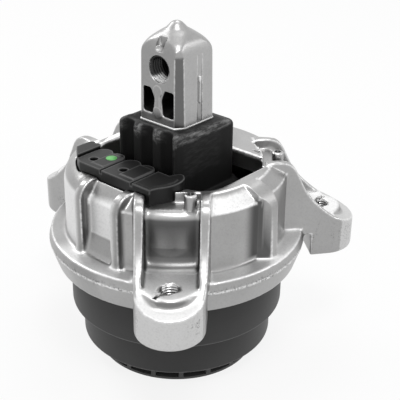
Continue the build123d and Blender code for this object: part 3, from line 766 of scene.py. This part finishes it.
def makeFinger():
    look = fingerLook
    bar = fingerBar(look)
    # Of the frame's core the foot is kept, below the bar
    made = nodeShape("core")
    parts = made.verts[:] + made.edges[:] + made.faces[:]
    bmesh.ops.bisect_plane(made, geom=parts, plane_co=(0, 0, look["foot"] * mm), plane_no=(0, 0, 1),
                           clear_outer=True)
    bmesh.ops.holes_fill(made, edges=made.edges)
    made.from_mesh(bar.data)
    bpy.data.objects.remove(bar)
    edges = edgePoints(made, 0.4, math.pi, lambda point: 114 * mm < point.z < 146.4 * mm)
    # Raised web between the pockets: two round lobes and a waist
    for x, z, radius in look["web"]:
        addRod(made, moved(x, 0, z) @ spun(90, "X"), radius, look["face"] + look["webRise"], 9.0)
    addBlock(made, moved(*look["waist"]), look["waistSize"])
    # Raised casting line on the right face
    for low, high, wide in look["line"]:
        addBlock(made, moved(*look["linePlace"], (low + high) / 2), (look["lineThick"], wide, high - low))
    piece = fromBmesh("finger_casting", made)
    castForm(piece, look)
    hole = moved(0, 0, look["holeLevel"]) @ spun(90, "X")
    bore = bmesh.new()
    radius, low, high = look["bore"]
    addRod(bore, hole, radius, high, low, 64)
    cutWith(piece, bore)
    sink = bmesh.new()
    radius, wide, low, high = look["sink"]
    addRod(sink, hole, radius, high, low, 64, wide)
    cutWith(piece, sink)
    half, back, floor = look["notchHalf"], look["notchBack"], look["notchFloor"]
    notch = bmesh.new()
    addBlock(notch, moved(0, back - 3.0, floor + 3.0), (2 * half, 6.0, 6.0))
    cutWith(piece, notch)
    notch = bmesh.new()
    addRod(notch, moved(0, back - 1.2, floor) @ spun(90, "X"), half * 0.98, 6.0, 0.0, 32)
    cutWith(piece, notch)
    # Edge wear with a painted edge highlight
    paintWearAndSheen(piece, edges, look["edgeWearAndSheen"], 0.5)
    paint(piece, "tone", fingerPaintedLight)
    finish(piece, castMetal, "aluminium_cast", "core")
    thread = threadTube("finger_thread", fingerThread, hole @ moved(0, 0, 10.5))
    paint(thread, "tone", threadPaintedShade)
    finish(thread, threadMetal, "aluminium_cast")
    makeLip(look)


# Lip where the metal comes out of the rubber, with a painted highlight that is brightest on the front
def makeLip(look):
    made = bmesh.new()
    half, (across, along, reach) = look["body"][1][1], look["flat"]
    rows = []
    for out, level in look["lip"]:
        ring = squareRing(half + out, look["lipCorner"], (across, along, reach + out))
        rows.append([made.verts.new((x * mm, y * mm, level * mm)) for x, y in ring])
    joinRings(made, rows + rows[:1])
    bmesh.ops.recalc_face_normals(made, faces=made.faces)
    lip = fromBmesh("finger_foot_lip", made)
    paint(lip, "tone", lambda place, normal: 0.15 + 0.85 * rise(-place.y, 8.0, 11.0))
    finish(lip, castMetal, "aluminium_cast")


# Rubber block with the spring below it: its top is dished round the finger and scuffed where it was trimmed
blockLook = {"voxel": 0.45, "edgeRounds": 4, "faces": 160000, "fluteCentre": 1.0, "flutePitch": 11.4,
             "frontLift": 2.0, "leftLift": 1.8, "backDrop": 1.7,
             "frontBand": (112.6, 118), "rightBand": (111.8, 116.0), "dripBand": (94, 110),
             "seam": (16.4, -20.0),
             "seamParts": ((90.0, 114.0, 0.5), (97.5, 98.7, 1.1), (105.8, 107.2, 0.9))}


def blockLift(place):
    look = blockLook
    lift = look["frontLift"] * rise(-place.y, 12.0, 19.5) + look["leftLift"] * rise(-place.x, 12.0, 16.5)
    lift -= look["backDrop"] * rise(place.y, 12.0, 20.0)
    return min(look["frontLift"], lift) * rise(place.z, 96.0, 113.5)


# 0 in the middle of a flute's hollow, 0.5 in the middle of the land between two
def fluteShare(place):
    share = ((place.x - blockLook["fluteCentre"]) / blockLook["flutePitch"] + 0.5) % 1.0
    return abs(share - 0.5)


# Grey rubbed bands: on the lands between the flutes, under the right edge and over the top
def blockScuffs(place, normal):
    look = blockLook
    if place.z < 95:
        return 0.0
    land = rise(fluteShare(place), 0.28, 0.36)
    front = rise(-place.y, 17.5, 19.5) * within(place.z, *look["frontBand"], 1.2) * (0.25 + 0.75 * land)
    right = rise(place.x, 15.0, 16.2) * within(place.z, *look["rightBand"], 0.9)
    right *= within(place.y, -21, 17, 2.0)
    top = 0.4 * rise(normal.z, 0.7, 0.9) * rise(max(abs(place.x), abs(place.y)), 13.0, 15.0)
    left = 0.8 * rise(-place.x, 12.5, 14.5) * rise(-place.y, 15.0, 17.0) * rise(normal.z, 0.5, 0.8)
    drips = 0.1 * rise(place.x, 15.4, 16.4) * within(place.z, *look["dripBand"], 3.0)
    drips *= within(place.y, -12, 8, 4.0)
    return min(1.0, max(front, right, top, left, drips))


# Painted shade keeps the flutes' hollows black
def blockPaintedShade(place, normal):
    if place.y > -15 or place.z < 86:
        return 0.0
    return -0.9 * rise(fluteShare(place), 0.31, 0.22) * rise(place.z, 116.5, 114.5)


def makeBlock():
    look = blockLook
    made = nodeShape("main_spring")
    # Thin flash down the front corner, where the mould's halves met
    for low, high, size in look["seamParts"]:
        place = moved(*look["seam"], (low + high) / 2) @ spun(45)
        addBlock(made, place, (size, 2.2 + size, high - low))
    piece = fromBmesh("rubber_block", made)
    castForm(piece, look)
    for vertex in piece.data.vertices:
        vertex.co.z += blockLift(vertex.co / mm) * mm
    paint(piece, "scuffs", blockScuffs)
    paint(piece, "tone", blockPaintedShade)
    finish(piece, blockRubber, "rubber", "main_spring")


# Limiter cap: inset plates on the first two panels, a stepped right end and the inspection dot
capLook = {"voxel": 0.2, "edgeRounds": 3, "faces": 150000, "wearAndSheenReach": 0.75,
           "dot": (-13.2, -28.1), "dotRadius": 2.5, "plateRise": 0.35,
           "plates": ((-16.8, -9.4, -36.6, -24.2, 100.2), (0.6, 9.0, -36.6, -24.2, 100.0)),
           "window": (16.0, -37.6, 95.7), "windowFill": (6.4, 3.0, 3.0), "endLevels": (98.0, 100.4),
           "end": ((12.0, -38.4), (19.8, -38.4), (21.0, -34.6), (22.6, -30.6), (23.2, -27.0),
                   (22.6, -24.0), (12.0, -26.0))}


def makeCap():
    look = capLook
    made = nodeShape("limiter_cap")
    # Closes the window in the outer edge
    addBlock(made, moved(*look["window"]), look["windowFill"])
    for left, right, front, back, level in look["plates"]:
        place = moved((left + right) / 2, (front + back) / 2, level)
        addBlock(made, place, (right - left, back - front, 2 * look["plateRise"]))
    # Second step of the right end
    rows = [[made.verts.new((x * mm, y * mm, level * mm)) for x, y in look["end"]]
            for level in look["endLevels"]]
    made.faces.new(rows[0][::-1])
    made.faces.new(rows[1])
    joinRings(made, rows)
    edges = edgePoints(made, 0.7, math.pi, lambda point: point.z > 98 * mm)
    piece = fromBmesh("limiter_cap_moulding", made)
    castForm(piece, look)
    # Edge wear with a painted edge highlight along the top's edges
    paintWearAndSheen(piece, edges, look["wearAndSheenReach"])
    finish(piece, capPlastic, "black_plastic", "limiter_cap")
    made = bmesh.new()
    x, y = look["dot"]
    z = look["plates"][0][4] + look["plateRise"]
    addRod(made, moved(x, y, 0), look["dotRadius"], z + 0.1, z - 0.3)
    dot = fromBmesh("inspection_dot", made)
    finish(dot, dotPaint, "black_plastic")


# Cup: its profile turned round the axis, all edges broken
cupLook = {"profile": ((33.6, 8.9, 0.3), (45.0, 8.9, 1.0), (45.0, 26.3, 0.5), (50.0, 26.3, 1.0),
                       (50.0, 55.5, 0.4), (47.2, 55.5, 0.4), (47.2, 29.3, 0.5), (42.4, 29.3, 0.5),
                       (42.4, 11.9, 0.8), (33.6, 11.9, 0.3)),
           "around": 192, "grooveLevel": 51.5, "grooveHalf": 1.1, "grooveRadius": 49.0}


# A closed outline with a small curve in the place of each corner
def brokenProfile(points, steps=3):
    result = []
    count = len(points)
    for index, (x, z, reach) in enumerate(points):
        here = Vector((x, z))
        before = (Vector(points[index - 1][:2]) - here).normalized() * reach
        after = (Vector(points[(index + 1) % count][:2]) - here).normalized() * reach
        for step in range(steps + 1):
            part = step / steps
            result.append(here + before * (1 - part) ** 2 + after * part ** 2)
    return result


def latheRing(name, profile, around):
    made = bmesh.new()
    rings = []
    for step in range(around):
        angle = 2 * math.pi * step / around
        rings.append([made.verts.new((point.x * math.cos(angle) * mm, point.x * math.sin(angle) * mm,
                                      point.y * mm)) for point in profile])
    joinRings(made, rings + rings[:1])
    bmesh.ops.recalc_face_normals(made, faces=made.faces)
    return fromBmesh(name, made)


# Painted highlight lines along the lower edges of the two tiers
def cupEdgeHighlight(place, normal):
    radius = math.hypot(place.x, place.y)
    step = rise(radius, 48.9, 49.3) * rise(place.z, 27.4, 27.0)
    foot = rise(radius, 43.9, 44.3) * rise(place.z, 10.0, 9.6)
    return 0.75 * max(step, foot)


def makeCup():
    look = cupLook
    corners = list(look["profile"])
    wide = corners[4][0]
    half, level, depth = look["grooveHalf"], look["grooveLevel"], look["grooveRadius"]
    corners[4:4] = [(wide, level - half, 0.1), (depth, level - half, 0.1), (depth, level + half, 0.1),
                    (wide, level + half, 0.1)]
    piece = latheRing("cup_moulding", brokenProfile(corners), look["around"])
    paint(piece, "worn", cupEdgeHighlight)
    finish(piece, cupPlastic, "cup_plastic", "cup")
    piece.data.set_sharp_from_angle(angle=math.radians(40))


# Vented base: a floor and a ring, with ribs set round between them
ventLook = {"Ribs": 18, "Rib width": 2.2, "Outer radius": 37.5, "Inner radius": 30.0, "Floor": 1.2,
            "Wall top": 4.2, "Top": 7.3, "Height": 8.9, "Neck radius": 33.4, "Neck top": 12.9,
            "First rib": -44.5}


# A tree of geometry nodes with named inputs
class ShapeTree:
    def __init__(self, name, inputs):
        self.tree = bpy.data.node_groups.new(name, "GeometryNodeTree")
        self.sockets = {}
        for label, value in inputs.items():
            kind = "NodeSocketInt" if isinstance(value, int) else "NodeSocketFloat"
            made = self.tree.interface.new_socket(label, in_out="INPUT", socket_type=kind)
            made.default_value = value
            self.sockets[label] = made.identifier
        self.tree.interface.new_socket("Geometry", in_out="OUTPUT", socket_type="NodeSocketGeometry")
        self.given = self.tree.nodes.new("NodeGroupInput")

    def node(self, kind, settings, values, output=0):
        made = self.tree.nodes.new(kind)
        for key, value in settings.items():
            setattr(made, key, value)
        for key, value in values.items():
            if isinstance(value, bpy.types.NodeSocket):
                self.tree.links.new(value, made.inputs[key])
            elif isinstance(value, list):
                for part in value:
                    self.tree.links.new(part, made.inputs[key])
            else:
                made.inputs[key].default_value = value
        return made.outputs[output] if made.outputs else None

    def value(self, label):
        return self.given.outputs[label]

    def math(self, operation, first, second):
        return self.node("ShaderNodeMath", {"operation": operation}, {0: first, 1: second})

    def vector(self, x=0.0, y=0.0, z=0.0):
        return self.node("ShaderNodeCombineXYZ", {}, {0: x, 1: y, 2: z})

    # Ring of square section round the axis, between two radii and two levels
    def ring(self, inner, outer, low, high):
        middle = self.math("MULTIPLY", self.math("ADD", inner, outer), 0.5)
        centre = self.math("MULTIPLY", self.math("ADD", low, high), 0.5)
        path = self.node("GeometryNodeCurvePrimitiveCircle", {"mode": "RADIUS"},
                         {"Resolution": 160, "Radius": middle})
        section = self.node("GeometryNodeCurvePrimitiveQuadrilateral", {"mode": "RECTANGLE"},
                            {"Width": self.math("SUBTRACT", outer, inner),
                             "Height": self.math("SUBTRACT", high, low)})
        swept = self.node("GeometryNodeCurveToMesh", {}, {"Curve": path, "Profile Curve": section})
        return self.placed(swept, self.vector(z=centre))

    def placed(self, shape, way):
        return self.node("GeometryNodeTransform", {}, {"Geometry": shape, "Translation": way})

    def finish(self, parts, material):
        joined = self.node("GeometryNodeJoinGeometry", {}, {"Geometry": parts})
        real = self.node("GeometryNodeRealizeInstances", {}, {"Geometry": joined})
        painted = self.node("GeometryNodeSetMaterial", {}, {"Geometry": real, "Material": material})
        self.node("NodeGroupOutput", {}, {"Geometry": painted})


# Runs a tree on an empty piece, with its named inputs set, and keeps the mesh
def grow(name, shape, inputs):
    piece = newObject(name, bpy.data.meshes.new(name))
    modifier = piece.modifiers.new("shape", "NODES")
    modifier.node_group = shape.tree
    for label, value in inputs.items():
        modifier[shape.sockets[label]] = value
    settle(piece)
    return piece


def makeVentBase():
    sizes = {label: value if isinstance(value, int) or label == "First rib" else value * mm
             for label, value in ventLook.items()}
    shape = ShapeTree("vented base", sizes)
    take = shape.value
    outer, inner = take("Outer radius"), take("Inner radius")
    floor = shape.node("GeometryNodeMeshCylinder", {},
                       {"Vertices": 160, "Radius": outer, "Depth": take("Floor")})
    floor = shape.placed(floor, shape.vector(z=shape.math("MULTIPLY", take("Floor"), 0.5)))
    top = shape.ring(inner, outer, take("Top"), take("Height"))
    neck = shape.ring(inner, take("Neck radius"), take("Top"), take("Neck top"))
    wall = shape.ring(inner, take("Neck radius"), 0.0, take("Wall top"))
    width = shape.math("SUBTRACT", outer, inner)
    size = shape.vector(width, take("Rib width"), take("Height"))
    rib = shape.node("GeometryNodeMeshCube", {}, {"Size": size})
    middle = shape.math("MULTIPLY", shape.math("ADD", inner, outer), 0.5)
    place = shape.vector(middle, 0.0, shape.math("MULTIPLY", take("Height"), 0.5))
    rib = shape.placed(rib, place)
    points = shape.node("GeometryNodePoints", {}, {"Count": take("Ribs")})
    index = shape.node("GeometryNodeInputIndex", {}, {})
    step = shape.math("DIVIDE", 2 * math.pi, take("Ribs"))
    first = shape.math("RADIANS", take("First rib"), 0.0)
    turn = shape.math("ADD", shape.math("MULTIPLY", index, step), first)
    ribs = shape.node("GeometryNodeInstanceOnPoints", {},
                      {"Points": points, "Instance": rib, "Rotation": shape.vector(z=turn)})
    shape.finish([floor, top, neck, wall, ribs], cupPlastic)
    piece = grow("vented_base", shape, sizes)
    # Painted highlight line along the outer edge
    paint(piece, "worn", lambda place, normal: 0.85 * rise(math.hypot(place.x, place.y), 36.5, 37.2))
    finish(piece, cupPlastic, "cup_plastic", "vent_base")
    piece.data.set_sharp_from_angle(angle=math.radians(40))


makeHousing()
makeFinger()
makeBlock()
makeCap()
makeCup()
makeVentBase()

# The pieces inside keep the frame's own shapes
hiddenLooks = {"spring_ring": (steelWire, "steel"), "bellows_ring": (steelWire, "steel"),
               "snap_ring": (steelWire, "steel"), "nozzle_upper": (platePlastic, "plate_plastic"),
               "nozzle_lower": (platePlastic, "plate_plastic"), "decoupler": (softRubber, "soft_rubber"),
               "nozzle_seal": (softRubber, "soft_rubber"), "bellows": (softRubber, "soft_rubber")}
for hidden, (material, slot) in hiddenLooks.items():
    dress(hidden, material)
print("hidden pieces dressed")

# Floor, light and camera
studio = {"floorHalf": 3.0, "floorShade": 0.86, "floorGlow": 0.86, "worldLight": 0.55}


# The white background is what the camera, mirror-like surfaces and clear ones see
def seenDirectly(sh):
    seen = sh.node("ShaderNodeLightPath", {}, {}, "Is Camera Ray")
    for name in ("Is Glossy Ray", "Is Transmission Ray"):
        seen = seen.math("MAXIMUM", sh.node("ShaderNodeLightPath", {}, {}, name))
    return seen


def makeFloor():
    half = studio["floorHalf"]
    corners = [(-half, -half, 0), (half, -half, 0), (half, half, 0), (-half, half, 0)]
    mesh = bpy.data.meshes.new("floor")
    mesh.from_pydata(corners, [], [(0, 1, 2, 3)])
    floor = newObject("floor", mesh)
    material, sh = newMaterial("pale floor")
    seen = seenDirectly(sh)
    matt = sh.node("ShaderNodeBsdfDiffuse", {}, {"Color": grey(studio["floorShade"])})
    glow = sh.node("ShaderNodeEmission", {}, {"Color": grey(1.0), "Strength": 1.0})
    mixed = sh.node("ShaderNodeMixShader", {}, {0: seen * studio["floorGlow"], 1: matt, 2: glow})
    sh.node("ShaderNodeOutputMaterial", {}, {0: mixed})
    floor.data.materials.append(material)


def makeWorld():
    world = bpy.data.worlds.new("studio")
    bpy.context.scene.world = world
    world.use_nodes = True
    world.node_tree.nodes.clear()
    sh = Shader(world.node_tree)
    seen = seenDirectly(sh)
    strength = studio["worldLight"] + seen * (1.0 - studio["worldLight"])
    light = sh.node("ShaderNodeBackground", {}, {"Color": grey(1.0), "Strength": strength})
    sh.node("ShaderNodeOutputWorld", {}, {0: light})


lamps = {"overhead": {"at": (0.34, -0.28, 1.05), "size": 0.36, "power": 4.2},
         "left": {"at": (-0.85, -0.02, 0.80), "size": 0.32, "power": 2.2},
         "backRight": {"at": (0.72, 0.58, 0.62), "size": 0.36, "power": 1.1},
         "behind": {"at": (-0.35, 0.55, 1.05), "size": 0.5, "power": 2.4}}


def makeLamps():
    target = Vector((0, 0, 0.07))
    for name, values in lamps.items():
        data = bpy.data.lights.new(name, "AREA")
        data.shape = "SQUARE"
        data.size = values["size"]
        data.energy = values["power"]
        lamp = newObject(name, data)
        place = Vector(values["at"])
        facing = (place - target).to_track_quat("Z", "Y").to_matrix().to_4x4()
        lamp.matrix_world = Matrix.Translation(place) @ facing


viewer = {"at": (0.2694, -0.2938, 0.2734), "yaw": 40.98, "pitch": 26.56, "roll": 0.67, "lens": 86.5}


def makeCamera():
    data = bpy.data.cameras.new("camera")
    data.lens = viewer["lens"]
    data.sensor_width = 36.0
    data.clip_start = 0.01
    data.clip_end = 50.0
    camera = newObject("camera", data)
    turn = spun(viewer["yaw"]) @ spun(90 - viewer["pitch"], "X") @ spun(viewer["roll"])
    camera.matrix_world = Matrix.Translation(viewer["at"]) @ turn
    bpy.context.scene.camera = camera


makeFloor()
makeWorld()
makeLamps()
makeCamera()
bpy.context.scene.view_settings.view_transform = "Standard"
print("studio ready")
